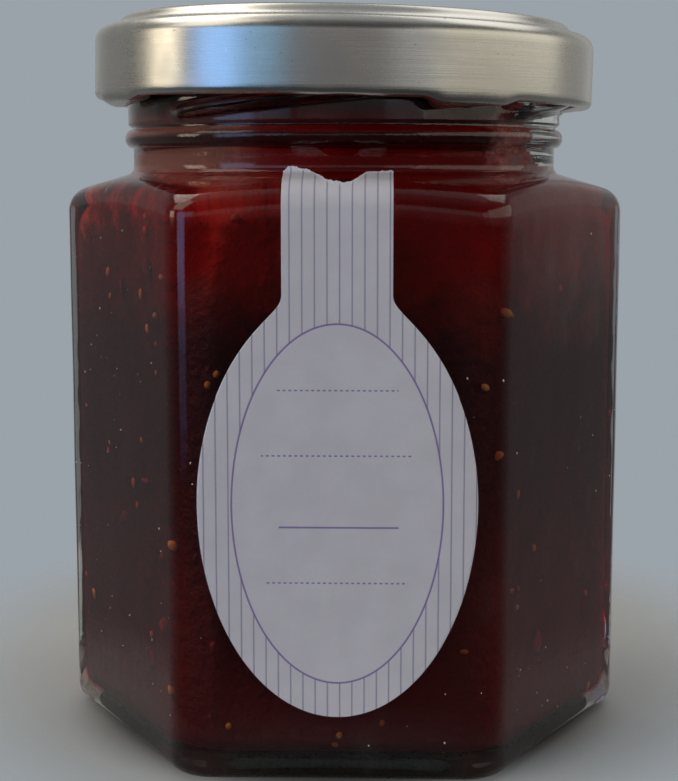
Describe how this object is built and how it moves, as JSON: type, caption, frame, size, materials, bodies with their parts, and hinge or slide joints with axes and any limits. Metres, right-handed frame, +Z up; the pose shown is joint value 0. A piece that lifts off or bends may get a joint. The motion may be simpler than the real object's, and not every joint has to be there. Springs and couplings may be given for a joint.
{
  "type": "hexagonal glass jar of fig jam with a lug lid",
  "caption": "Hexagonal glass jar filled with dark fig jam, with a satin steel lug lid that unscrews and an oval paper label whose seal strip is torn off at the neck.",
  "frame": {"origin": "middle of the base, on the surface that the jar stands on", "axes": "+Z up the jar's axis to the lid, -Y out of the labelled face, +X to the right of the label"},
  "size_m": [0.0688, 0.0613, 0.0862],
  "materials": {
    "clear glass": "polished",
    "fig jam": "glossy",
    "satin tinplate": "satin, brushed",
    "sealing compound": "matte",
    "label paper": "matte"
  },
  "bodies": {
    "jar": {"glass_jar": "clear glass", "jam": "fig jam", "label": "label paper"},
    "lid_seal": {"lid_gasket": "sealing compound"},
    "lid": {"lid_shell": "satin tinplate"}
  },
  "joints": [
    {"name": "lid_rise", "type": "slide", "parent": "jar", "child": "lid_seal", "axis": [0, 0, 1], "range_m": [0, 0.00215]},
    {"name": "lid_turn", "type": "hinge", "parent": "lid_seal", "child": "lid", "pos_m": [0, 0, 0.076], "axis": [0, 0, 1], "range_deg": [0, 45]}
  ],
  "couplings": [
    {"joint": "lid_turn", "follows": "lid_rise", "rad_per_m": 363.6}
  ]
}
